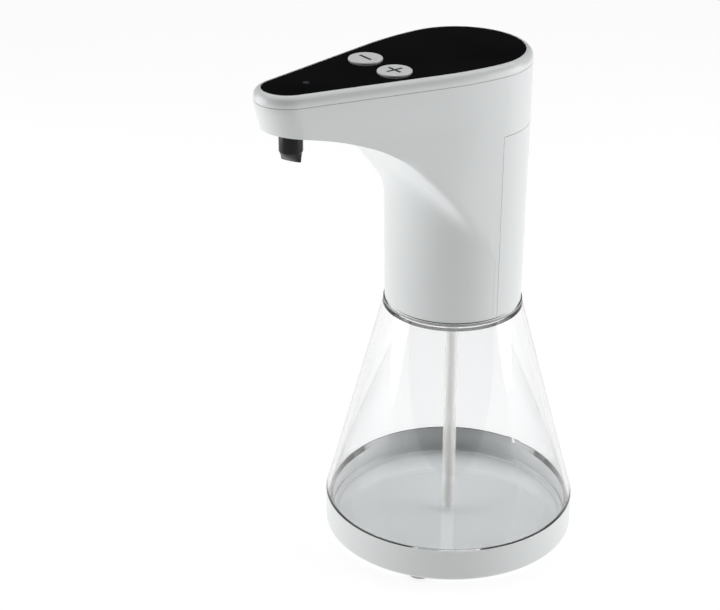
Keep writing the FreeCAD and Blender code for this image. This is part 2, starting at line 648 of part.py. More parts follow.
# Screw posts rise from the arm's floor: two pairs under the circuit board and
# one pair under the elbow's ears.
BOARD_SPOTS = [("rear_screw_side", "-rear_screw_reach"), ("-rear_screw_side", "-rear_screw_reach"),
               ("tip_screw_side", "-tip_screw_reach"), ("-tip_screw_side", "-tip_screw_reach")]
EAR_SPOTS = [("ear_spacing / 2", "-nozzle_reach"), ("-ear_spacing / 2", "-nozzle_reach")]
BOARD_BASE = "(%s - board_thick)" % BOARD_TOP
EAR_BASE = "(%s - ear_drop)" % SEAM
posts = []
post_holes = []
for index, (spot, top) in enumerate([(spot, BOARD_BASE) for spot in BOARD_SPOTS]
                                    + [(spot, EAR_BASE) for spot in EAR_SPOTS]):
    posts.append(rod("post%d" % index, "post_radius", "post_length", spot[0], spot[1],
                     top + " - post_length"))
    post_holes.append(rod("postHole%d" % index, "screw_radius + bearing_gap", "screw_length",
                          spot[0], spot[1], top + " - screw_length + slip_gap"))
inner_posts = common("innerPosts", fuse("postStock", nozzle_boss, *posts), outer_form)
shell = cut("shell", filleted, hollow)
body_housing = cut("body_housing", fuse("shellWithPosts", shell, inner_posts), door_space,
                   sensor_hole, nozzle_hole, *post_holes)

# The battery door is the rear half of the neck. Its two tongues slip inside
# the front shell, and the whole door pulls off to the rear.


def neck_ring(name, outset, thickness, low, height):
    """Make a ring that follows the inside of the neck's tapered wall."""
    start = "(plate_back + rim_width - neck_growth * (1 - (%s - %s) / head_height) - shell_wall + %s)"
    low_radius = start % (low, HEAD, outset)
    high_radius = start % ("(%s + %s)" % (low, height), HEAD, outset)
    outer = doc.addObject("Part::Cone", name + "Outer")
    bind(outer, {"Radius1": low_radius, "Radius2": high_radius, "Height": height})
    inner = doc.addObject("Part::Cone", name + "Inner")
    bind(inner, {"Radius1": "%s - %s" % (low_radius, thickness),
                 "Radius2": "%s - %s" % (high_radius, thickness), "Height": height})
    place(outer, z=low)
    place(inner, z=low)
    return cut(name, outer, inner)


TONGUE_LOW = "(%s + (door_height - tongue_length) / 2)" % HEAD
door_block = block("doorBlock", "4 * plate_back", "2 * plate_back", "door_height + tool_margin",
                   "0", "plate_back + seam_gap", "%s - tool_margin" % HEAD)
door_shell = common("doorShell", cut("doorStock", outer_form, hollow), door_block)
tongue_strip = block("tongueStrip", "4 * plate_back", "tongue_reach + tongue_root", "tongue_length",
                     "0", "(tongue_root - tongue_reach) / 2", TONGUE_LOW)
root_strip = block("rootStrip", "4 * plate_back", "tongue_root - seam_gap", "tongue_length",
                   "0", "(tongue_root + seam_gap) / 2", TONGUE_LOW)
tongues = common("tongues", neck_ring("tongueRing", "(-tongue_gap)", "tongue_thick", TONGUE_LOW,
                                      "tongue_length"), tongue_strip)
tongue_roots = common("tongueRoots", neck_ring("rootRing", "shell_wall / 2",
                                               "(tongue_thick + shell_wall / 2)", TONGUE_LOW,
                                               "tongue_length"), root_strip)
battery_door = fuse("battery_door", door_shell, tongues, tongue_roots)


def rounded_slab(name, grow, low, thickness, radius):
    """Make a slab with the arm's plan and a rounded upper edge."""
    slab = plan_slab(name, grow, low, thickness)
    doc.recompute()
    pad = slab.Tip
    top = max(range(len(pad.Shape.Faces)), key=lambda index: pad.Shape.Faces[index].CenterOfMass.z)
    edge = slab.newObject("PartDesign::Fillet", name + "Round")
    edge.Base = (pad, ["Face%d" % (top + 1)])
    bind(edge, {"Radius": radius})
    return slab


# The top cover is a rim round the black plate, with a deck under the plate
# and a lip that locates inside the casing.
LIP_GROW = "(rim_width - shell_wall - lip_inset)"
COVER_BASE = "(%s + seam_gap)" % SEAM
cover_block = rounded_slab("coverBlock", "rim_width", COVER_BASE, "cover_height - seam_gap", "cover_round")
cover_lip = plan_slab("coverLip", LIP_GROW, "(%s - lip_depth)" % SEAM, "lip_depth + 2 * seam_gap")
cover_hollow = plan_slab("coverHollow", LIP_GROW + " - lip_thick", "(%s - 2 * lip_depth)" % SEAM,
                         "%s - %s + 2 * lip_depth" % (DECK_BASE, SEAM))
cover_recess = plan_slab("coverRecess", "plate_gap", PLATE_BASE, "2 * plate_thick")
KEY_SPOTS = {"minus": ("-key_side", "-key_reach"), "plus": ("key_side", "-key_reach")}
deck_holes = []
plate_holes = []
for sign, (x, y) in KEY_SPOTS.items():
    deck_holes.append(rod(sign + "DeckHole", "key_radius + key_gap", "4 * cover_floor", x, y,
                          "%s - cover_floor" % DECK_BASE))
    plate_holes.append(rod(sign + "PlateHole", "key_radius + key_gap", "3 * plate_thick", x, y,
                           "%s - plate_thick" % PLATE_BASE))
deck_holes.append(rod("deckLight", "light_radius + seat_gap", "4 * cover_floor", "0", "-light_reach",
                      "%s - cover_floor" % DECK_BASE))
plate_holes.append(rod("plateLight", "light_radius + seat_gap", "3 * plate_thick", "0",
                       "-light_reach", "%s - plate_thick" % PLATE_BASE))
top_cover = cut("top_cover", fuse("coverStock", cover_block, cover_lip), cover_hollow, cover_recess,
                *deck_holes)
top_plate = cut("top_plate", rounded_slab("plateStock", "0", PLATE_BASE, "plate_thick",
                                          "plate_sink * 3"), *plate_holes)

# ---------------------------------------------------------------- keys and light

KEY_TOP = "(%s + key_proud)" % PLATE_TOP
FLANGE_TOP = "(%s - slip_gap)" % DECK_BASE
FLANGE_LOW = "(%s - flange_thick)" % FLANGE_TOP
SWITCH_TOP = "(%s + switch_height)" % BOARD_TOP
PLUNGER_LOW = "(%s - plunger_sink)" % SWITCH_TOP
MARK_LOW = "(%s - mark_depth)" % KEY_TOP
keys = {}
marks = {}
plungers = {}
switch_bodies = []
for sign, (x, y) in KEY_SPOTS.items():
    key_stock = turned(sign + "KeyStock", [
        ("0", FLANGE_LOW),
        ("key_radius + key_flange", FLANGE_LOW),
        ("key_radius + key_flange", FLANGE_TOP),
        ("key_radius", FLANGE_TOP),
        ("key_radius", KEY_TOP + " - key_round", "key_round", 1),
        ("key_radius - key_round", KEY_TOP),
        ("0", KEY_TOP),
    ], x, y)
    bars = [(sign + "Bar", "mark_length", "mark_width")]
    if sign == "plus":
        bars.append((sign + "Cross", "mark_width", "mark_length"))
    pockets = [block(name + "Pocket", wide, deep, "2 * mark_depth", x, y, MARK_LOW)
               for name, wide, deep in bars]
    inlays = [block(name, wide, deep, "mark_depth + mark_proud", x, y, MARK_LOW)
              for name, wide, deep in bars]
    keys[sign] = cut(sign + "_key", key_stock, *pockets)
    marks[sign] = fuse(sign + "_mark", *inlays) if len(inlays) > 1 else inlays[0]
    plungers[sign] = rod(sign + "_plunger", "plunger_radius", "%s - plunger_gap - %s"
                         % (FLANGE_LOW, PLUNGER_LOW), x, y, PLUNGER_LOW)
    switch_stock = block(sign + "SwitchStock", "switch_width", "switch_width", "switch_height",
                         x, y, BOARD_TOP)
    switch_bore = rod(sign + "SwitchBore", "plunger_radius + plunger_gap", "3 * switch_height", x, y,
                      "%s - key_travel - plunger_gap" % PLUNGER_LOW)
    switch_bodies.append(cut(sign + "Switch", switch_stock, switch_bore))
key_switches = group("key_switches", switch_bodies)

LENS_LOW = "(%s - flange_thick)" % FLANGE_TOP
indicator_lens = turned("indicator_lens", [
    ("0", LENS_LOW),
    ("light_radius + light_flange", LENS_LOW),
    ("light_radius + light_flange", FLANGE_TOP),
    ("light_radius", FLANGE_TOP),
    ("light_radius", PLATE_TOP + " + mark_proud"),
    ("0", PLATE_TOP + " + mark_proud"),
], "0", "-light_reach")
indicator_light = block("indicator_light", "chip_width", "chip_width", "chip_height",
                        "0", "-light_reach", BOARD_TOP)

board_slab = plan_slab("boardSlab", "(-board_inset)", BOARD_BASE, "board_thick")
board_span = block("boardSpan", "4 * plate_back", "board_front + board_rear", "4 * board_thick",
                   "0", "(board_rear - board_front) / 2", "%s - board_thick" % BOARD_BASE)
board_holes = [rod("boardHole%d" % index, "screw_radius + screw_gap", "4 * board_thick", x, y,
                   "%s - board_thick" % BOARD_BASE)
               for index, (x, y) in enumerate(BOARD_SPOTS)]
main_board = cut("main_board", common("boardShape", board_slab, board_span), *board_holes)

# ---------------------------------------------------------------- infrared sensor

HOLDER = "(shell_wall + slip_gap)"
sensor_window = leaning_rod("sensor_window", "window_radius", "window_thick", "-window_proud")
sensor_holder = cut("sensor_holder",
                    leaning_rod("holderStock", "window_radius + holder_wall", "holder_height", HOLDER),
                    leaning_rod("holderBore", "window_radius - holder_wall / 3", "3 * holder_height",
                                "%s - holder_height" % HOLDER))
DIODE = "(window_thick - window_proud + seat_gap)"
infrared_emitter = leaning_rod("infrared_emitter", "diode_radius", "diode_length", DIODE,
                               "-diode_spacing / 2")
infrared_receiver = leaning_rod("infrared_receiver", "diode_radius", "diode_length", DIODE,
                                "diode_spacing / 2")
sensor_board = leaning_rod("sensor_board", "window_radius + holder_wall", "sensor_board",
                           "%s + holder_height" % HOLDER)

# ---------------------------------------------------------------- nozzle

SLEEVE_LOW = "(%s - nozzle_drop)" % SEAM
SLEEVE_TOP = "(%s + nozzle_length)" % SLEEVE_LOW
LIP_LOW = "(%s - lip_drop)" % SLEEVE_LOW


def turned_prism(name, corners, length):
    """Make a prism from its side view, turned with the lips and standing on their level."""
    body = doc.addObject("PartDesign::Body", name)
    side = new_sketch(body, name + "Side", "YZ_Plane")
    draw(side, corners)
    pad = body.newObject("PartDesign::Pad", name + "Pad")
    pad.Profile = side
    pad.SideType = "Symmetric"
    bind(pad, {"Length": length})
    body.Placement = FreeCAD.Placement(FreeCAD.Vector(), FreeCAD.Rotation(FreeCAD.Vector(0, 0, 1), 1))
    bind(body, {"Placement.Rotation.Angle": "lip_turn"})
    return place(body, y="-nozzle_reach", z=LIP_LOW)


bill = turned_prism("bill", [
    ("-lip_wide / 2", "0"),
    ("lip_wide / 2", "0"),
    ("bill_radius", "lip_drop"),
    ("-bill_radius", "lip_drop"),
], "lip_length")
slit = turned_prism("slit", [
    ("-lip_slit / 2", "-lip_drop"),
    ("lip_slit / 2", "-lip_drop"),
    ("lip_slit / 2", "lip_drop + 2 * lip_wide"),
    ("-lip_slit / 2", "lip_drop + 2 * lip_wide"),
], "lip_length - 2 * lip_wide")
bill_round = rod("billRound", "bill_radius", "lip_drop", y="-nozzle_reach", z=LIP_LOW)
sleeve = rod("sleeve", "nozzle_radius", "nozzle_length", y="-nozzle_reach", z=SLEEVE_LOW)
sleeve_bore = rod("sleeveBore", "nozzle_bore", "nozzle_length + tool_margin", y="-nozzle_reach",
                  z="%s + lip_wide" % SLEEVE_LOW)
nozzle = cut("nozzle", fuse("nozzleStock", common("billShape", bill, bill_round), sleeve),
             sleeve_bore, slit)

ELBOW_TOP = "(%s - elbow_rise)" % SEAM
SPIGOT_LOW = "(%s + 2 * lip_wide)" % SLEEVE_LOW
elbow_solids = [
    rod("elbowBody", "elbow_radius", "%s - %s - seat_gap" % (ELBOW_TOP, SLEEVE_TOP),
        y="-nozzle_reach", z=SLEEVE_TOP + " + seat_gap"),
    rod("elbowSpigot", "nozzle_bore - bearing_gap", "%s - %s" % (ELBOW_TOP, SPIGOT_LOW),
        y="-nozzle_reach", z=SPIGOT_LOW),
    lying_rod("elbowBarb", "barb_radius", "nozzle_reach - hose_end + barb_length",
              "-nozzle_reach", HOSE_LEVEL),
    block("elbowEars", "ear_spacing + 2 * post_radius", "2 * post_radius", "ear_thick",
          "0", "-nozzle_reach", EAR_BASE),
]
elbow_cuts = [
    rod("elbowDrop", "elbow_bore", "%s - %s + tool_margin" % (HOSE_LEVEL, SPIGOT_LOW),
        y="-nozzle_reach", z=SPIGOT_LOW + " - tool_margin"),
    lying_rod("elbowRun", "elbow_bore", "2 * nozzle_reach", "-nozzle_reach", HOSE_LEVEL),
]
for index, (x, y) in enumerate(EAR_SPOTS):
    elbow_cuts.append(rod("earHole%d" % index, "screw_radius + screw_gap", "4 * ear_thick", x, y,
                          EAR_BASE + " - ear_thick"))
nozzle_elbow = cut("nozzle_elbow", fuse("elbowStock", *elbow_solids), *elbow_cuts)

# ---------------------------------------------------------------- liquid path

HOSE_START = "(%s + slip_gap)" % PUMP_TOP
outlet_hose = doc.addObject("PartDesign::Body", "outlet_hose")
route = new_sketch(outlet_hose, "hoseRoute", "YZ_Plane")
bend_low = ("-outlet_reach", "%s - hose_bend" % HOSE_LEVEL)
bend_high = ("-outlet_reach - hose_bend", HOSE_LEVEL)
stops = [("-outlet_reach", HOSE_START), bend_low, bend_high, ("-hose_end", HOSE_LEVEL)]
spots = [FreeCAD.Vector(number(u), number(v), 0) for u, v in stops]
route.addGeometry(Part.LineSegment(spots[0], spots[1]))
route.addGeometry(arc_between(spots[1], spots[2], number("hose_bend"), 1))
route.addGeometry(Part.LineSegment(spots[2], spots[3]))
for index, (u, v) in enumerate(stops[:3]):
    dimension(route, "DistanceX", -1, 1, index, 1, u)
    dimension(route, "DistanceY", -1, 1, index, 1, v)
route.addConstraint(Sketcher.Constraint("Coincident", 0, 2, 1, 1))
route.addConstraint(Sketcher.Constraint("Coincident", 1, 2, 2, 1))
dimension(route, "Radius", 1, "hose_bend")
dimension(route, "DistanceX", -1, 1, 2, 2, "-hose_end")
dimension(route, "DistanceY", -1, 1, 2, 2, HOSE_LEVEL)
hose_section = new_sketch(outlet_hose, "hoseSection", "XY_Plane", HOSE_START)
for index, radius in enumerate(("hose_outer", "hose_inner")):
    centre = FreeCAD.Vector(0, number("-outlet_reach"), 0)
    hose_section.addGeometry(Part.Circle(centre, FreeCAD.Vector(0, 0, 1), number(radius)))
    hose_section.addConstraint(Sketcher.Constraint("PointOnObject", index, 3, -2))
    dimension(hose_section, "Radius", index, radius)
    dimension(hose_section, "DistanceY", -1, 1, index, 3, "-outlet_reach")
hose_pipe = outlet_hose.newObject("PartDesign::AdditivePipe", "hosePipe")
hose_pipe.Profile = hose_section
hose_pipe.Spine = route

TUBE_TOP = "(%s - 2 * bearing_gap - flange_thick)" % CARRIER
TUBE_LOW = "(%s + tube_lift)" % INSIDE_FLOOR
dip_tube = ring("dip_tube", "tube_inner", "tube_outer", TUBE_LOW, TUBE_TOP)
NIPPLE_LOW = "(%s - nipple_length)" % TUBE_TOP
inlet_nipple = turned("inlet_nipple", [
    ("elbow_bore", NIPPLE_LOW),
    ("nipple_radius", NIPPLE_LOW),
    ("nipple_radius", "%s - flange_thick" % CARRIER),
    ("2 * nipple_radius", "%s - flange_thick" % CARRIER),
    ("2 * nipple_radius", CARRIER),
    ("nipple_radius", CARRIER),
    ("nipple_radius", PUMP),
    ("elbow_bore", PUMP),
])

SKIRT_INNER = "(spigot_radius + carrier_gap)"
SKIRT_OUTER = "(%s - shell_wall - carrier_gap)" % NECK_RADIUS
carrier_disc = turned("carrierDisc", [
    ("nipple_radius + seat_gap", CARRIER),
    (SKIRT_INNER, CARRIER),
    (SKIRT_INNER, HEAD + " + head_gap"),
    (SKIRT_OUTER, HEAD + " + head_gap"),
    (SKIRT_OUTER, PUMP),
    ("nipple_radius + seat_gap", PUMP),
])
VALVE_X = "-valve_side"
VALVE_Y = "-pump_back + 2 * valve_radius"
valve_hole = rod("valveHole", "valve_radius / 2", "4 * carrier_thick", VALVE_X, VALVE_Y,
                 "%s - carrier_thick" % CARRIER)
pump_carrier = cut("pump_carrier", carrier_disc, valve_hole)
air_valve = turned("air_valve", [
    ("0", "%s - carrier_thick / 2" % CARRIER),
    ("valve_radius / 2", "%s - carrier_thick / 2" % CARRIER),
    ("valve_radius", CARRIER + " - bearing_gap"),
    ("valve_radius / 2 - seat_gap", CARRIER + " - bearing_gap"),
    ("valve_radius / 2 - seat_gap", PUMP + " + bearing_gap"),
    ("valve_radius * 2 / 3", PUMP + " + bearing_gap"),
    ("valve_radius / 3", PUMP + " + carrier_thick / 2"),
    ("0", PUMP + " + carrier_thick / 2"),
], VALVE_X, VALVE_Y)

# The pump is a pair of meshed gears side by side. The left one is on the
# motor's shaft, and liquid crosses from the rear port to the front port.
DRIVE_X = "-" + PITCH_RADIUS
IDLER_X = PITCH_RADIUS
GEAR_Y = "-pump_back"
PUMP_Y = "(pump_offset - pump_back)"
PORT_LEVEL = "(%s + pump_floor + %s / 2)" % (PUMP, GEAR_HEIGHT)
CAVITY_RADIUS = "(%s + gear_addendum + gear_clearance)" % PITCH_RADIUS
CAVITY_FLOOR = "(%s + pump_floor)" % PUMP
NIPPLE_TOP = "(%s + slip_gap + barb_length)" % PUMP_TOP
pump_solids = [
    block("pumpBlock", "pump_wide", "pump_deep", "pump_height", "0", PUMP_Y, PUMP),
    rod("outletBoss", "boss_radius", "pump_height", y="-outlet_reach", z=PUMP),
    block("outletWeb", "boss_radius", "2 * boss_radius", "pump_height",
          "0", "boss_radius - outlet_reach", PUMP),
    rod("outletNipple", "barb_radius", "%s - %s" % (NIPPLE_TOP, PUMP), y="-outlet_reach", z=PUMP),
]
pump_cuts = [
    rod("driveCavity", CAVITY_RADIUS, "2 * pump_height", DRIVE_X, GEAR_Y, CAVITY_FLOOR),
    rod("idlerCavity", CAVITY_RADIUS, "2 * pump_height", IDLER_X, GEAR_Y, CAVITY_FLOOR),
    rod("inletDrop", "elbow_bore", "%s - %s" % (PORT_LEVEL, PUMP), z=PUMP),
    lying_rod("inletRun", "elbow_bore", "pump_back / 2 + gear_addendum",
              "-pump_back / 2 - gear_addendum", PORT_LEVEL),
    lying_rod("outletRun", "elbow_bore", "outlet_reach - pump_back - gear_addendum",
              "-outlet_reach", PORT_LEVEL),
    rod("outletRise", "elbow_bore", "2 * pump_height + barb_length", y="-outlet_reach", z=PORT_LEVEL),
    rod("shaftJournal", "shaft_radius + bearing_gap", "pump_floor", DRIVE_X, GEAR_Y,
        "%s - journal_length" % CAVITY_FLOOR),
    rod("idlerJournal", "journal_radius + bearing_gap", "pump_floor", IDLER_X, GEAR_Y,
        "%s - journal_length - seat_gap" % CAVITY_FLOOR),
]
PUMP_SPOTS = [("-pump_screw_side", "pump_screw_rear"), ("pump_screw_side", "pump_screw_rear"),
              ("pump_screw_side", "-pump_screw_front")]
for index, (x, y) in enumerate(PUMP_SPOTS):
    pump_cuts.append(rod("pumpHole%d" % index, "screw_radius + bearing_gap", "screw_length", x, y,
                         "%s - screw_length + pump_lid / 2" % PUMP_TOP))
pump_body = cut("pump_body", fuse("pumpStock", *pump_solids), *pump_cuts)

cover_solids = [
    block("lidBlock", "pump_wide", "pump_deep", "pump_lid", "0", PUMP_Y, PUMP_TOP),
    ring("motorSeat", "motor_radius + seat_gap", "motor_radius + seat_gap + sleeve_wall",
         MOTOR + " - pump_lid / 2", MOTOR + " + sleeve_height", DRIVE_X, GEAR_Y),
]
cover_cuts = [
    rod("lidShaft", "shaft_radius + seat_gap", "3 * pump_lid", DRIVE_X, GEAR_Y,
        "%s - pump_lid" % PUMP_TOP),
    rod("sealPocket", "seal_radius + seat_gap", "3 * seal_height", DRIVE_X, GEAR_Y,
        "%s - seal_height - bearing_gap" % MOTOR),
    rod("lidJournal", "journal_radius + bearing_gap", "journal_length + seat_gap + tool_margin",
        IDLER_X, GEAR_Y, "%s - tool_margin" % PUMP_TOP),
    rod("lidRelief", "boss_radius - barb_radius", "3 * pump_lid", y="-outlet_reach",
        z="%s - pump_lid" % PUMP_TOP),
]
for index, (x, y) in enumerate(PUMP_SPOTS):
    cover_cuts.append(rod("lidHole%d" % index, "screw_radius + screw_gap", "3 * pump_lid", x, y,
                          "%s - pump_lid" % PUMP_TOP))
pump_cover = cut("pump_cover", fuse("lidStock", *cover_solids), *cover_cuts)


def involute(radius):
    """Return how far the involute has turned where it reaches this radius."""
    base = number(PITCH_RADIUS) * math.cos(math.radians(number("gear_pressure")))
    lean = math.acos(min(base / radius, 1))
    return math.tan(lean) - lean


def gear_shape(turn):
    """Make one pump gear round the Z axis, with a tooth pointing along turn."""
    teeth = int(number("gear_teeth"))
    pitch = number(PITCH_RADIUS)
    base = pitch * math.cos(math.radians(number("gear_pressure")))
    tip = pitch + number("gear_addendum")
    root = pitch - number("gear_dedendum")
    half_pitch = math.pi * number("gear_module") / 2 - number("gear_backlash")
    half_tooth = half_pitch / 2 / pitch + involute(pitch)
    levels = [base + (tip - base) * step / 4 for step in range(5)]

    def spot(radius, angle):
        return FreeCAD.Vector(radius * math.cos(angle), radius * math.sin(angle), 0)

    edges = []
    for tooth in range(teeth):
        middle = turn + 2 * math.pi * tooth / teeth
        rising = [spot(radius, middle - half_tooth + involute(radius)) for radius in levels]
        falling = [spot(radius, middle + half_tooth - involute(radius)) for radius in reversed(levels)]
        start = spot(root, middle - half_tooth)
        end = spot(root, middle + half_tooth)
        following = spot(root, middle + 2 * math.pi / teeth - half_tooth)
        valley = spot(root, middle + math.pi / teeth)
        flank_up, flank_down = Part.BSplineCurve(), Part.BSplineCurve()
        flank_up.interpolate(rising)
        flank_down.interpolate(falling)
        edges += [Part.makeLine(start, rising[0]), flank_up.toShape(),
                  Part.Arc(rising[-1], spot(tip, middle), falling[0]).toShape(),
                  flank_down.toShape(), Part.makeLine(falling[-1], end),
                  Part.Arc(end, valley, following).toShape()]
    return Part.Face(Part.Wire(edges)).extrude(FreeCAD.Vector(0, 0, number(GEAR_HEIGHT)))


def gear_stock(name, turn, x):
    """Put a gear blank in the document at its place in the pump."""
    item = doc.addObject("Part::Feature", name)
    item.Shape = gear_shape(turn)
    return place(item, x, GEAR_Y, GEARS)


drive_gear = cut("drive_gear", gear_stock("driveBlank", 0, DRIVE_X),
                 rod("driveBore", "shaft_radius + bearing_gap", "2 * pump_height", DRIVE_X, GEAR_Y,
                     PUMP))
half_tooth_turn = math.pi / number("gear_teeth")
idler_gear = fuse("idler_gear", gear_stock("idlerBlank", half_tooth_turn, IDLER_X),
                  rod("idlerShaft", "journal_radius", GEAR_HEIGHT + " + 2 * journal_length",
                      IDLER_X, GEAR_Y, GEARS + " - journal_length"))

# ---------------------------------------------------------------- motor

SHAFT_LOW = "(%s - journal_length + seat_gap)" % CAVITY_FLOOR
CAN_INNER = "(motor_radius - motor_wall)"
motor_can = turned("motor_can", [
    ("shaft_radius + seat_gap", MOTOR),
    ("motor_radius", MOTOR),
    ("motor_radius", MOTOR_TOP),
    (CAN_INNER, MOTOR_TOP),
    (CAN_INNER, MOTOR + " + motor_wall"),
    ("shaft_radius + seat_gap", MOTOR + " + motor_wall"),
], DRIVE_X, GEAR_Y)
motor_end_cap = ring("motor_end_cap", "shaft_radius + seat_gap", "motor_radius", MOTOR_TOP,
                     MOTOR_TOP + " + motor_cap", DRIVE_X, GEAR_Y)
magnet_ring = ring("magnetRing", CAN_INNER + " - magnet_thick", CAN_INNER + " - bearing_gap",
                   MOTOR + " + motor_wall + bearing_gap", MOTOR_TOP + " - rotor_inset / 2",
                   DRIVE_X, GEAR_Y)
magnet_split = block("magnetSplit", "magnet_thick", "4 * motor_radius", "2 * motor_height",
                     DRIVE_X, GEAR_Y, MOTOR)
motor_magnets = cut("motor_magnets", magnet_ring, magnet_split)
motor_rotor = ring("motor_rotor", "shaft_radius + bearing_gap", "rotor_radius",
                   MOTOR + " + rotor_inset", MOTOR_TOP + " - rotor_inset", DRIVE_X, GEAR_Y)
motor_shaft = rod("motor_shaft", "shaft_radius", "%s + motor_cap + shaft_stub - %s"
                  % (MOTOR_TOP, SHAFT_LOW), DRIVE_X, GEAR_Y, SHAFT_LOW)
shaft_seal = ring("shaft_seal", "shaft_radius + bearing_gap", "seal_radius", MOTOR + " - seal_height",
                  MOTOR + " - bearing_gap", DRIVE_X, GEAR_Y)

# ---------------------------------------------------------------- batteries

TRAY_DEPTH = "(tray_back - cell_back + cell_radius + slip_gap + tray_wall)"
CAVITY_LOW = "(%s + tray_floor)" % PUMP
CAVITY_LENGTH = "(cell_length + nub_height + spring_height + 2 * contact_thick)"
CAVITY_HIGH = "(%s + %s)" % (CAVITY_LOW, CAVITY_LENGTH)
tray_stock = block("trayStock", "tray_wide", TRAY_DEPTH, "tray_floor + tray_top + " + CAVITY_LENGTH,
                   "0", "tray_back - %s / 2" % TRAY_DEPTH, PUMP)
tray_cavity = block("trayCavity", "tray_wide - 2 * tray_wall", TRAY_DEPTH, CAVITY_LENGTH,
                    "0", "tray_back - %s / 2 + tray_wall" % TRAY_DEPTH, CAVITY_LOW)
battery_holder = cut("battery_holder", tray_stock, tray_cavity)


def cell_spring(name, x, low):
    """Make one cell spring, a plain helix of eight-sided wire between its contact plate and the cell."""
    wire = number("spring_wire")
    gap = number("bearing_gap")
    height = number("spring_height") - wire - 2 * gap
    radius = number("spring_radius")
    corners = []
    for side in range(9):
        turn = math.radians(45 * side + 22.5)
        corners.append(FreeCAD.Vector(radius + wire / 2 * math.cos(turn), 0, wire / 2 * math.sin(turn)))
    helix = Part.makeHelix(height / number("spring_turns"), height, radius)
    item = doc.addObject("Part::Feature", name)
    item.Shape = Part.Wire(helix).makePipeShell([Part.makePolygon(corners)], True, True)
    return place(item, x, "cell_back", "%s + spring_wire / 2 + bearing_gap" % low)


cells = []
springs = []
contacts = []
for index in range(4):
    cell_x = "(%s * cell_pitch)" % (index - 1.5)
    upright = index % 2 == 0
    if upright:
        foot = "(%s + contact_thick + spring_height)" % CAVITY_LOW
        shoulder = "(%s + cell_length)" % foot
        tip = "(%s + nub_height)" % shoulder
        spring_low = "(%s + contact_thick)" % CAVITY_LOW
    else:
        tip = "(%s + contact_thick)" % CAVITY_LOW
        shoulder = "(%s + nub_height)" % tip
        foot = "(%s + cell_length)" % shoulder
        spring_low = foot
    cells.append(turned("cell%d" % index, [
        ("0", foot),
        ("cell_radius", foot),
        ("cell_radius", shoulder),
        ("nub_radius", shoulder),
        ("nub_radius", tip),
        ("0", tip),
    ], cell_x, "cell_back"))
    springs.append(cell_spring("spring%d" % index, cell_x, spring_low))
    for end, level in (("Low", CAVITY_LOW), ("High", "(%s - contact_thick)" % CAVITY_HIGH)):
        contacts.append(block("contact%s%d" % (end, index), "contact_wide", "contact_wide",
                              "contact_thick", cell_x, "cell_back", level))
batteries = group("batteries", cells)
cell_springs = group("cell_springs", springs)
contact_plates = group("contact_plates", contacts)

# ---------------------------------------------------------------- screws

SCREW_SPOTS = ([(x, y, BOARD_TOP) for x, y in BOARD_SPOTS]
               + [(x, y, "(%s + ear_thick)" % EAR_BASE) for x, y in EAR_SPOTS]
               + [(x, y, MOTOR) for x, y in PUMP_SPOTS])
screw_solids = []
for index, (x, y, seat) in enumerate(SCREW_SPOTS):
    screw_solids.append(turned("screw%d" % index, [
        ("0", seat + " - screw_length + 2 * slip_gap"),
        ("screw_radius", seat + " - screw_length + 2 * slip_gap"),
        ("screw_radius", seat),
        ("screw_head", seat),
        ("screw_head", seat + " + head_thick / 2"),
        ("screw_head - head_thick / 2", seat + " + head_thick"),
        ("0", seat + " + head_thick"),
    ], x, y))
screws = group("screws", screw_solids)

# ---------------------------------------------------------------- write the pieces

PIECES = {
    "bottle": bottle, "base_cap": base_cap, "feet": feet, "bottle_gasket": bottle_gasket,
    "body_housing": body_housing, "battery_door": battery_door, "top_cover": top_cover,
    "top_plate": top_plate, "minus_key": keys["minus"], "plus_key": keys["plus"],
    "minus_mark": marks["minus"], "plus_mark": marks["plus"],
    "minus_plunger": plungers["minus"], "plus_plunger": plungers["plus"],
    "key_switches": key_switches, "indicator_lens": indicator_lens,
    "indicator_light": indicator_light, "main_board": main_board,
    "sensor_window": sensor_window, "sensor_holder": sensor_holder,
    "infrared_emitter": infrared_emitter, "infrared_receiver": infrared_receiver,
    "sensor_board": sensor_board, "nozzle": nozzle, "nozzle_elbow": nozzle_elbow,
    "outlet_hose": outlet_hose, "dip_tube": dip_tube, "inlet_nipple": inlet_nipple,
    "pump_carrier": pump_carrier, "air_valve": air_valve, "pump_body": pump_body,
    "pump_cover": pump_cover, "drive_gear": drive_gear, "idler_gear": idler_gear,
    "motor_can": motor_can, "motor_end_cap": motor_end_cap, "motor_magnets": motor_magnets,
    "motor_rotor": motor_rotor, "motor_shaft": motor_shaft, "shaft_seal": shaft_seal,
    "battery_holder": battery_holder, "batteries": batteries, "cell_springs": cell_springs,
    "contact_plates": contact_plates, "screws": screws,
}

doc.recompute()
for item in doc.Objects:
    if "Invalid" in item.State or "Error" in item.State:
        raise RuntimeError("%s did not compute: %s" % (item.Label, item.State))
for node, item in PIECES.items():
    item.Label = node
    shape = item.Shape
    if shape.isNull() or not shape.isValid() or not shape.Solids:
        raise RuntimeError("%s has no valid solid" % node)
os.makedirs("parts", exist_ok=True)
for node, item in PIECES.items():
    item.Shape.exportStep("parts/%s.step" % node)
    print("%-18s %2d solid(s) %10.1f mm3" % (node, len(item.Shape.Solids), item.Shape.Volume))
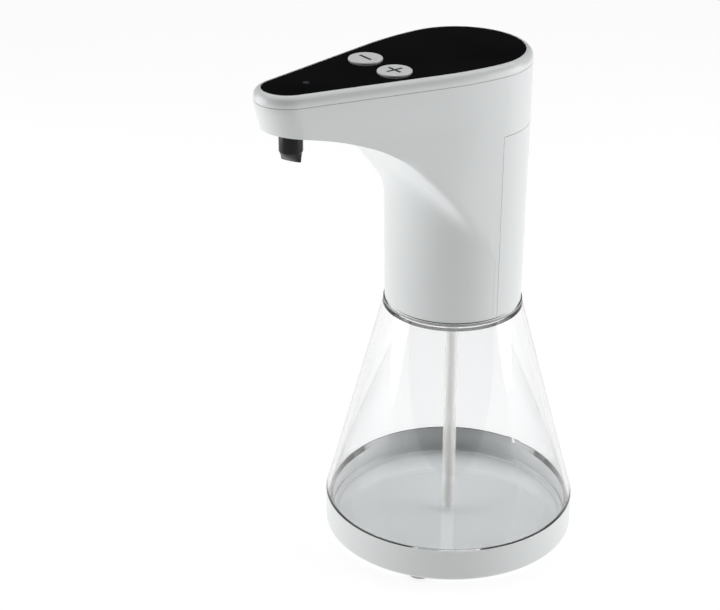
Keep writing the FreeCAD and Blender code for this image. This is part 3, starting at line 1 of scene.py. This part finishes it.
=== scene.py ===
import json
import math
import bpy
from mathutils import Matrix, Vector


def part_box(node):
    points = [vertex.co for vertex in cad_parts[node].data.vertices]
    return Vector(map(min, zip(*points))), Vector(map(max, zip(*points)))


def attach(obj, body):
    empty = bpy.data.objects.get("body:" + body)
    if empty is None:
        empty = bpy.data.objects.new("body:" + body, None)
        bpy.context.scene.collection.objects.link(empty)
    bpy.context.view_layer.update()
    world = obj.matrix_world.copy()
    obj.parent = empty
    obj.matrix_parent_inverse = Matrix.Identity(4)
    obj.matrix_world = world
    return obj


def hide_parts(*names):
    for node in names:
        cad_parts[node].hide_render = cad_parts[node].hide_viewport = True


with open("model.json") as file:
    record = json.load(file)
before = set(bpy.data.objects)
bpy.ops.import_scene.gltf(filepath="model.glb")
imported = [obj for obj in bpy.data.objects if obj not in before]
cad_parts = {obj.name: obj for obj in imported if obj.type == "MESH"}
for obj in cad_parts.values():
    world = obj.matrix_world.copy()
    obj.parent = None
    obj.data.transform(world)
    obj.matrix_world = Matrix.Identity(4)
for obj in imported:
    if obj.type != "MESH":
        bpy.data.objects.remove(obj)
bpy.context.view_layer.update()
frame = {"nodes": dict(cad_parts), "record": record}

nodes = frame["nodes"]
bpy.ops.object.select_all(action="DESELECT")

# how fine each pattern is drawn, and the share of its range that carries a change
pattern = {"cloudDetail": 3, "smearDetail": 4, "grainDetail": 2, "lineDetail": 3,
           "spreadFrom": 0.3, "spreadTo": 0.7, "firstTint": 0.35, "secondTint": 0.65}


# a material with its shader and a place to hang the pattern nodes on
def startMaterial(name):
    material = bpy.data.materials.new(name)
    material.use_nodes = True
    tree = material.node_tree
    shader = tree.nodes["Principled BSDF"]
    place = tree.nodes.new("ShaderNodeTexCoord")
    return material, tree, shader, place.outputs["Object"]


def addNoise(tree, place, scale, detail, stretch=None):
    if stretch:
        mapping = tree.nodes.new("ShaderNodeMapping")
        mapping.inputs["Scale"].default_value = stretch
        tree.links.new(place, mapping.inputs["Vector"])
        place = mapping.outputs["Vector"]
    noise = tree.nodes.new("ShaderNodeTexNoise")
    noise.inputs["Scale"].default_value = scale
    noise.inputs["Detail"].default_value = detail
    tree.links.new(place, noise.inputs["Vector"])
    return noise.outputs["Fac"]


# noise turned into a number that strays either side of a middle, such as roughness
def strayFrom(tree, value, middle, stray):
    spread = tree.nodes.new("ShaderNodeMapRange")
    spread.inputs["From Min"].default_value = pattern["spreadFrom"]
    spread.inputs["From Max"].default_value = pattern["spreadTo"]
    spread.inputs["To Min"].default_value = middle - stray
    spread.inputs["To Max"].default_value = middle + stray
    tree.links.new(value, spread.inputs["Value"])
    return spread.outputs["Result"]


def mixTints(tree, value, firstTint, secondTint):
    ramp = tree.nodes.new("ShaderNodeValToRGB")
    first, second = ramp.color_ramp.elements
    first.position = pattern["firstTint"]
    first.color = (*firstTint, 1)
    second.position = pattern["secondTint"]
    second.color = (*secondTint, 1)
    tree.links.new(value, ramp.inputs["Fac"])
    return ramp.outputs["Color"]


def addBump(tree, shader, height, depth, strength):
    bump = tree.nodes.new("ShaderNodeBump")
    bump.inputs["Distance"].default_value = depth
    bump.inputs["Strength"].default_value = strength
    tree.links.new(height, bump.inputs["Height"])
    tree.links.new(bump.outputs["Normal"], shader.inputs["Normal"])


# moulded plastic and rubber: slight clouding, uneven gloss and a fine mould grain
def mouldedFinish(name, look):
    material, tree, shader, place = startMaterial(name)
    clouds = addNoise(tree, place, look["cloudScale"], pattern["cloudDetail"])
    tint = mixTints(tree, clouds, look["tint"], look["tintDeep"])
    tree.links.new(tint, shader.inputs["Base Color"])
    smears = addNoise(tree, place, look["smearScale"], pattern["smearDetail"])
    gloss = strayFrom(tree, smears, look["rough"], look["roughSpread"])
    tree.links.new(gloss, shader.inputs["Roughness"])
    grain = addNoise(tree, place, look["grainScale"], pattern["grainDetail"])
    addBump(tree, shader, grain, look["grainDepth"], look["grainStrength"])
    shader.inputs["IOR"].default_value = look["ior"]
    shader.inputs["Coat Weight"].default_value = look["coat"]
    shader.inputs["Coat Roughness"].default_value = look["coatRough"]
    shader.inputs["Transmission Weight"].default_value = look["clear"]
    shader.inputs["Subsurface Weight"].default_value = look["glow"]
    shader.inputs["Subsurface Radius"].default_value = look["glowReach"]
    shader.inputs["Alpha"].default_value = look["alpha"]
    shader.inputs["Specular IOR Level"].default_value = look["spec"]
    return material


# clear plastic: the same finish, and lamps reach through it to what is inside
def clearFinish(name, look):
    material = mouldedFinish(name, look)
    tree = material.node_tree
    shader, output = tree.nodes["Principled BSDF"], tree.nodes["Material Output"]
    # the wall looks darker where it is seen edge on, through more plastic
    depth = tree.nodes.new("ShaderNodeVolumeAbsorption")
    depth.inputs["Color"].default_value = (*look["depthTint"], 1)
    depth.inputs["Density"].default_value = look["depthDensity"]
    tree.links.new(depth.outputs["Volume"], output.inputs["Volume"])
    path = tree.nodes.new("ShaderNodeLightPath")
    through = tree.nodes.new("ShaderNodeBsdfTransparent")
    through.inputs["Color"].default_value = (*look["shade"], 1)
    mix = tree.nodes.new("ShaderNodeMixShader")
    tree.links.new(path.outputs["Is Shadow Ray"], mix.inputs[0])
    tree.links.new(shader.outputs["BSDF"], mix.inputs[1])
    tree.links.new(through.outputs["BSDF"], mix.inputs[2])
    tree.links.new(mix.outputs["Shader"], output.inputs["Surface"])
    return material


# drawn or plated metal with fine lines along one way
def metalFinish(name, look):
    material, tree, shader, place = startMaterial(name)
    lines = addNoise(tree, place, look["lineScale"], pattern["lineDetail"], look["stretch"])
    tint = mixTints(tree, lines, look["tint"], look["tintDeep"])
    tree.links.new(tint, shader.inputs["Base Color"])
    gloss = strayFrom(tree, lines, look["rough"], look["roughSpread"])
    tree.links.new(gloss, shader.inputs["Roughness"])
    addBump(tree, shader, lines, look["lineDepth"], look["lineStrength"])
    shader.inputs["Metallic"].default_value = 1
    return material


# what the moulded finishes share, and then what each one has of its own
plain = {"cloudScale": 25, "smearScale": 60, "roughSpread": 0.04, "grainScale": 2600,
         "grainDepth": 0.00001, "grainStrength": 0.15, "ior": 1.5, "coat": 0, "coatRough": 0.03,
         "clear": 0, "glow": 0, "glowReach": (0.002, 0.002, 0.002), "alpha": 1, "spec": 0.5}
looks = {
    "whiteShell": {**plain, "tint": (0.790, 0.812, 0.812), "tintDeep": (0.786, 0.809, 0.810),
                   "rough": 0.28, "roughSpread": 0.006, "coat": 0.2, "coatRough": 0.1,
                   "grainScale": 900, "grainDepth": 0.000004, "grainStrength": 0.03},
    "blackGloss": {**plain, "tint": (0.006, 0.006, 0.007), "tintDeep": (0.009, 0.009, 0.010),
                   "rough": 0.07, "roughSpread": 0.02, "coat": 0.3, "grainStrength": 0.03},
    "keyWhite": {**plain, "tint": (0.87, 0.88, 0.87), "tintDeep": (0.84, 0.85, 0.84),
                 "rough": 0.3, "coat": 0.1},
    "markBlack": {**plain, "tint": (0.01, 0.01, 0.01), "tintDeep": (0.02, 0.02, 0.02),
                  "rough": 0.4},
    "nozzleBlack": {**plain, "tint": (0.006, 0.006, 0.007), "tintDeep": (0.011, 0.011, 0.012),
                    "rough": 0.3, "spec": 0.22, "grainStrength": 0.2},
    "footRubber": {**plain, "tint": (0.55, 0.55, 0.54), "tintDeep": (0.47, 0.47, 0.46),
                   "rough": 0.6, "grainStrength": 0.5},
    # gasket: its grey is partly the ring's own colour and partly painted shade, darkened to the
    # shadow of the gap under the head
    "gasketGreyPaintedShade": {**plain, "tint": (0.36, 0.36, 0.33), "tintDeep": (0.30, 0.30, 0.28),
                   "rough": 0.5},
    "clearShell": {**plain, "tint": (0.995, 0.996, 0.998), "tintDeep": (0.991, 0.993, 0.996),
                   "rough": 0.02, "roughSpread": 0.01, "clear": 1.0, "ior": 1.45,
                   "grainStrength": 0, "shade": (0.99, 0.99, 0.99),
                   "depthTint": (0.77, 0.78, 0.79), "depthDensity": 36},
    "milkyTube": {**plain, "tint": (0.97, 0.97, 0.95), "tintDeep": (0.95, 0.955, 0.93),
                  "rough": 0.35, "glow": 0.4, "alpha": 0.5},
    "lensDark": {**plain, "tint": (0.16, 0.012, 0.008), "tintDeep": (0.11, 0.008, 0.006),
                 "rough": 0.08, "clear": 0.25, "coat": 0.4, "grainStrength": 0.02},
    "lensSmoke": {**plain, "tint": (0.10, 0.10, 0.11), "tintDeep": (0.07, 0.07, 0.08),
                  "rough": 0.12, "clear": 0.2, "grainStrength": 0.02},
    "pumpPlastic": {**plain, "tint": (0.62, 0.63, 0.61), "tintDeep": (0.56, 0.57, 0.55),
                    "rough": 0.45},
    "gearPlastic": {**plain, "tint": (0.84, 0.81, 0.70), "tintDeep": (0.78, 0.75, 0.64),
                    "rough": 0.38},
    "framePlastic": {**plain, "tint": (0.025, 0.025, 0.027), "tintDeep": (0.035, 0.035, 0.037),
                     "rough": 0.42, "grainStrength": 0.4},
    "boardGreen": {**plain, "tint": (0.015, 0.11, 0.045), "tintDeep": (0.012, 0.085, 0.035),
                   "rough": 0.3, "cloudScale": 220},
    "cellJacket": {**plain, "tint": (0.03, 0.08, 0.19), "tintDeep": (0.025, 0.065, 0.16),
                   "rough": 0.25, "coat": 0.3},
    "magnetDark": {**plain, "tint": (0.03, 0.03, 0.033), "tintDeep": (0.05, 0.05, 0.052),
                   "rough": 0.6, "grainStrength": 0.8},
    "diodeClear": {**plain, "tint": (0.93, 0.95, 0.98), "tintDeep": (0.90, 0.92, 0.96),
                   "rough": 0.06, "clear": 0.9, "grainStrength": 0.02},
    "chipWhite": {**plain, "tint": (0.85, 0.83, 0.62), "tintDeep": (0.80, 0.78, 0.56),
                  "rough": 0.4},
}
drawn = {"roughSpread": 0.06, "lineDepth": 0.00002, "lineStrength": 0.3}
metals = {
    "steel": {**drawn, "tint": (0.60, 0.60, 0.61), "tintDeep": (0.50, 0.50, 0.51), "rough": 0.3,
              "lineScale": 600, "stretch": (1, 1, 0.05)},
    "copper": {**drawn, "tint": (0.72, 0.30, 0.16), "tintDeep": (0.50, 0.19, 0.10), "rough": 0.35,
               "lineScale": 900, "stretch": (0.1, 0.1, 4)},
}
finishes = {}
for name, look in looks.items():
    makeFinish = clearFinish if "shade" in look else mouldedFinish
    finishes[name] = makeFinish(name, look)
for name, look in metals.items():
    finishes[name] = metalFinish(name, look)
print("finishes made:", len(finishes))

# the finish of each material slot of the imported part
slotFinish = {
    "clear_shell": "clearShell", "white_shell": "whiteShell", "black_gloss": "blackGloss",
    "key_white": "keyWhite", "mark_black": "markBlack", "nozzle_black": "nozzleBlack",
    "foot_rubber": "footRubber", "gasket_grey": "gasketGreyPaintedShade", "milky_tube": "milkyTube",
    "lens_dark": "lensDark", "lens_smoke": "lensSmoke", "pump_plastic": "pumpPlastic",
    "gear_plastic": "gearPlastic", "frame_plastic": "framePlastic", "board_green": "boardGreen",
    "steel": "steel", "magnet_dark": "magnetDark", "copper": "copper", "cell_jacket": "cellJacket",
    "diode_clear": "diodeClear", "chip_white": "chipWhite",
}
for row in frame["record"]["subparts"]:
    node = nodes[row["node"]]
    node.data.materials.clear()
    node.data.materials.append(finishes[slotFinish[row["material_slot"]]])
print("nodes finished:", len(nodes))

# casing whose arm runs softly into the neck: the blend is remade from a fine mesh and smoothed
housing = {"grid": 0.0008, "front": -0.0495, "rear": -0.004, "bottom": 0.135, "top": 0.221,
           "fade": 0.004, "frontFade": 0.016, "creaseAt": (-0.0322, 0.1849), "creaseSlope": 49,
           "creaseReach": 0.010, "creaseFade": 0.008, "pull": 0.5, "passes": 110,
           "smoothAngle": 32, "mergeWithin": 0.000002}


def selectOnly(*pieces):
    bpy.ops.object.select_all(action="DESELECT")
    for piece in pieces:
        piece.select_set(True)
    bpy.context.view_layer.objects.active = pieces[0]


def copyNode(node, name):
    piece = bpy.data.objects.new(name, nodes[node].data.copy())
    bpy.context.scene.collection.objects.link(piece)
    selectOnly(piece)
    bpy.ops.mesh.customdata_custom_splitnormals_clear()
    bpy.ops.object.mode_set(mode="EDIT")
    bpy.ops.mesh.select_all(action="SELECT")
    bpy.ops.mesh.remove_doubles(threshold=housing["mergeWithin"])
    bpy.ops.object.mode_set(mode="OBJECT")
    return piece


# how far a point is inside the blend's block, in metres
def blendDepth(point):
    return min(point.y - housing["front"], housing["rear"] - point.y, point.z - housing["bottom"],
               housing["top"] - point.z)


# how far a point is from the crease between the arm's underside and the neck, seen from the side
def creaseDistance(point):
    slope = math.radians(housing["creaseSlope"])
    startY, startZ = housing["creaseAt"]
    return abs((point.z - startZ) * math.cos(slope) + (point.y - startY) * math.sin(slope))


# how far the smoothing may move a point, from 0 at the block's sides to 1 along the crease
def softShare(point):
    share = min(1, max(0, blendDepth(point) / housing["fade"]))
    share *= min(1, max(0, (point.y - housing["front"]) / housing["frontFade"]))
    past = creaseDistance(point) - housing["creaseReach"]
    share *= min(1, max(0, 1 - past / housing["creaseFade"]))
    return share * share * (3 - 2 * share)


# picks out the faces that a test says yes to, and leaves the piece in edit mode
def pickFaces(piece, test):
    bpy.ops.object.mode_set(mode="OBJECT")
    selectOnly(piece)
    bpy.ops.object.mode_set(mode="EDIT")
    bpy.ops.mesh.select_mode(type="FACE")
    bpy.ops.mesh.select_all(action="DESELECT")
    bpy.ops.object.mode_set(mode="OBJECT")
    for face in piece.data.polygons:
        face.select = test(face)
    bpy.ops.object.mode_set(mode="EDIT")


def cutAtBlend(piece):
    selectOnly(piece)
    bpy.ops.object.mode_set(mode="EDIT")
    for spot, way in (((0, housing["front"], 0), (0, 1, 0)), ((0, housing["rear"], 0), (0, 1, 0)),
                      ((0, 0, housing["bottom"]), (0, 0, 1)), ((0, 0, housing["top"]), (0, 0, 1))):
        bpy.ops.mesh.select_all(action="SELECT")
        bpy.ops.mesh.bisect(plane_co=spot, plane_no=way)
    bpy.ops.object.mode_set(mode="OBJECT")


def deleteFaces(piece, test):
    pickFaces(piece, test)
    bpy.ops.mesh.delete(type="FACE")
    bpy.ops.object.mode_set(mode="OBJECT")


def makeHousing():
    piece = copyNode("body_housing", "housing")
    blend = copyNode("body_housing", "housingBlend")
    remesh = blend.modifiers.new("grid", "REMESH")
    remesh.mode = "VOXEL"
    remesh.voxel_size = housing["grid"]
    bpy.ops.object.modifier_apply(modifier=remesh.name)
    cutAtBlend(blend)
    deleteFaces(blend, lambda face: blendDepth(face.center) < 0)
    cutAtBlend(piece)
    deleteFaces(piece, lambda face: blendDepth(face.center) > 0)
    soft = blend.vertex_groups.new(name="soft")
    for point in blend.data.vertices:
        soft.add([point.index], softShare(point.co), "REPLACE")
    selectOnly(blend)
    smooth = blend.modifiers.new("soften", "SMOOTH")
    smooth.factor = housing["pull"]
    smooth.iterations = housing["passes"]
    smooth.vertex_group = "soft"
    bpy.ops.object.modifier_apply(modifier=smooth.name)
    selectOnly(piece, blend)
    bpy.ops.object.join()
    bpy.ops.object.shade_smooth_by_angle(angle=math.radians(housing["smoothAngle"]))
    piece.data.materials.clear()
    piece.data.materials.append(finishes["whiteShell"])
    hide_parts("body_housing")
    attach(piece, "head")
    print("housing faces:", len(piece.data.polygons))


makeHousing()

# soft black nozzle: a round sleeve, a stepped shoulder and a bill pressed flat to two lips
nozzle = {"sleeveRadius": 0.00505, "billRadius": 0.0047, "billDrop": 0.0045, "shoulder": 0.0006,
          "bore": 0.0038, "boreDepth": 0.006, "lipLength": 1.0, "lipThick": 0.19,
          "slitLength": 0.84, "slitThick": 0.30, "slitDepth": 0.002, "turn": 24, "sides": 64,
          "edge": 0.00018, "edgeSteps": 2, "edgeAngle": 35, "smoothAngle": 25, "flatFrom": 0.9}


def extrudeDown(drop):
    bpy.ops.mesh.extrude_region_move(TRANSFORM_OT_translate={"value": (0, 0, -drop)})


def sizePicked(share):
    bpy.ops.transform.resize(value=share)


def makeNozzle():
    low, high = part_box("nozzle")
    middleX, middleY = (low[0] + high[0]) / 2, (low[1] + high[1]) / 2
    sleeveLow = low[2] + nozzle["billDrop"]
    bpy.ops.mesh.primitive_cylinder_add(
        vertices=nozzle["sides"], radius=nozzle["sleeveRadius"], depth=high[2] - sleeveLow,
        location=(middleX, middleY, (high[2] + sleeveLow) / 2))
    piece = bpy.context.object
    piece.name = "spoutNozzle"
    bpy.ops.object.transform_apply(location=True, rotation=False, scale=False)
    # the bore, from the sleeve's flat top
    pickFaces(piece, lambda face: face.normal.z > nozzle["flatFrom"])
    share = nozzle["bore"] / nozzle["sleeveRadius"]
    extrudeDown(0)
    sizePicked((share, share, 1))
    extrudeDown(nozzle["boreDepth"])
    # the shoulder, the bill and the slit, from the sleeve's flat lower end
    pickFaces(piece, lambda face: face.normal.z < -nozzle["flatFrom"])
    share = nozzle["billRadius"] / nozzle["sleeveRadius"]
    extrudeDown(nozzle["shoulder"])
    sizePicked((share, share, 1))
    extrudeDown(sleeveLow - low[2] - nozzle["shoulder"])
    sizePicked((nozzle["lipLength"], nozzle["lipThick"], 1))
    extrudeDown(0)
    sizePicked((nozzle["slitLength"], nozzle["slitThick"], 1))
    extrudeDown(-nozzle["slitDepth"])
    bpy.ops.mesh.select_all(action="SELECT")
    bpy.ops.transform.rotate(value=-math.radians(nozzle["turn"]), orient_axis="Z",
                             center_override=(middleX, middleY, 0))
    bpy.ops.mesh.normals_make_consistent(inside=False)
    bpy.ops.object.mode_set(mode="OBJECT")
    bevel = piece.modifiers.new("edges", "BEVEL")
    bevel.width = nozzle["edge"]
    bevel.segments = nozzle["edgeSteps"]
    bevel.angle_limit = math.radians(nozzle["edgeAngle"])
    bpy.ops.object.modifier_apply(modifier=bevel.name)
    bpy.ops.object.shade_smooth_by_angle(angle=math.radians(nozzle["smoothAngle"]))
    piece.data.materials.append(finishes["nozzleBlack"])
    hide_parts("nozzle")
    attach(piece, "head")
    print("nozzle faces:", len(piece.data.polygons))


makeNozzle()

# floor, light and camera
studio = {
    "floorSize": 8.0, "floorTint": (0.30, 0.30, 0.30), "floorTintDeep": (0.2955, 0.2955, 0.2955),
    "floorRough": 0.8, "floorGlow": 0.775, "toneScale": 3, "toneDetail": 2,
    "skyLow": 0.64, "skyHigh": 0.10, "skyRise": 0.25, "lampsAim": (0, -0.03, 0.12),
    "cameraAt": (0.6029, -0.4941, 0.4854), "cameraTurn": (64.395, 0, 53.75), "lens": 95,
    "nearest": 0.05, "farthest": 20,
}
lamps = {
    "leftPanel": {"at": (-0.50, -0.62, 0.30), "size": 0.6, "power": 3.3},
    "rightPanel": {"at": (0.50, 0.62, 0.30), "size": 0.6, "power": 3.3},
    "topPanel": {"at": (-0.40, 0.40, 2.4), "size": 3.0, "power": 46},
}


def buildFloor():
    bpy.ops.mesh.primitive_plane_add(size=studio["floorSize"], location=(0, 0, 0))
    floor = bpy.context.object
    floor.name = "floor"
    material, tree, shader, place = startMaterial("floorPaper")
    tone = addNoise(tree, place, studio["toneScale"], studio["toneDetail"])
    tint = mixTints(tree, tone, studio["floorTint"], studio["floorTintDeep"])
    tree.links.new(tint, shader.inputs["Base Color"])
    shader.inputs["Roughness"].default_value = studio["floorRough"]
    shader.inputs["Emission Color"].default_value = (1, 1, 1, 1)
    shader.inputs["Emission Strength"].default_value = studio["floorGlow"]
    floor.data.materials.append(material)


def lightStudio():
    for name, lamp in lamps.items():
        light = bpy.data.lights.new(name, "AREA")
        light.shape = "SQUARE"
        light.size = lamp["size"]
        light.energy = lamp["power"]
        holder = bpy.data.objects.new(name, light)
        bpy.context.scene.collection.objects.link(holder)
        holder.location = lamp["at"]
        aim = Vector(studio["lampsAim"]) - holder.location
        holder.rotation_euler = aim.to_track_quat("-Z", "Y").to_euler()
    world = bpy.data.worlds.new("softSky")
    bpy.context.scene.world = world
    world.use_nodes = True
    tree = world.node_tree
    sky = tree.nodes["Background"]
    place = tree.nodes.new("ShaderNodeTexCoord")
    split = tree.nodes.new("ShaderNodeSeparateXYZ")
    tree.links.new(place.outputs["Generated"], split.inputs["Vector"])
    # the sky is light along the horizon and darker above
    rise = tree.nodes.new("ShaderNodeMapRange")
    rise.inputs["From Max"].default_value = studio["skyRise"]
    rise.inputs["To Min"].default_value = studio["skyLow"]
    rise.inputs["To Max"].default_value = studio["skyHigh"]
    tree.links.new(split.outputs["Z"], rise.inputs["Value"])
    tree.links.new(rise.outputs["Result"], sky.inputs["Strength"])


def placeCamera():
    camera = bpy.data.objects.new("camera", bpy.data.cameras.new("camera"))
    bpy.context.scene.collection.objects.link(camera)
    camera.location = studio["cameraAt"]
    camera.rotation_euler = tuple(math.radians(a) for a in studio["cameraTurn"])
    camera.data.lens = studio["lens"]
    camera.data.clip_start, camera.data.clip_end = studio["nearest"], studio["farthest"]
    bpy.context.scene.camera = camera


buildFloor()
lightStudio()
placeCamera()
bpy.context.scene.view_settings.view_transform = "Standard"
print("studio set")
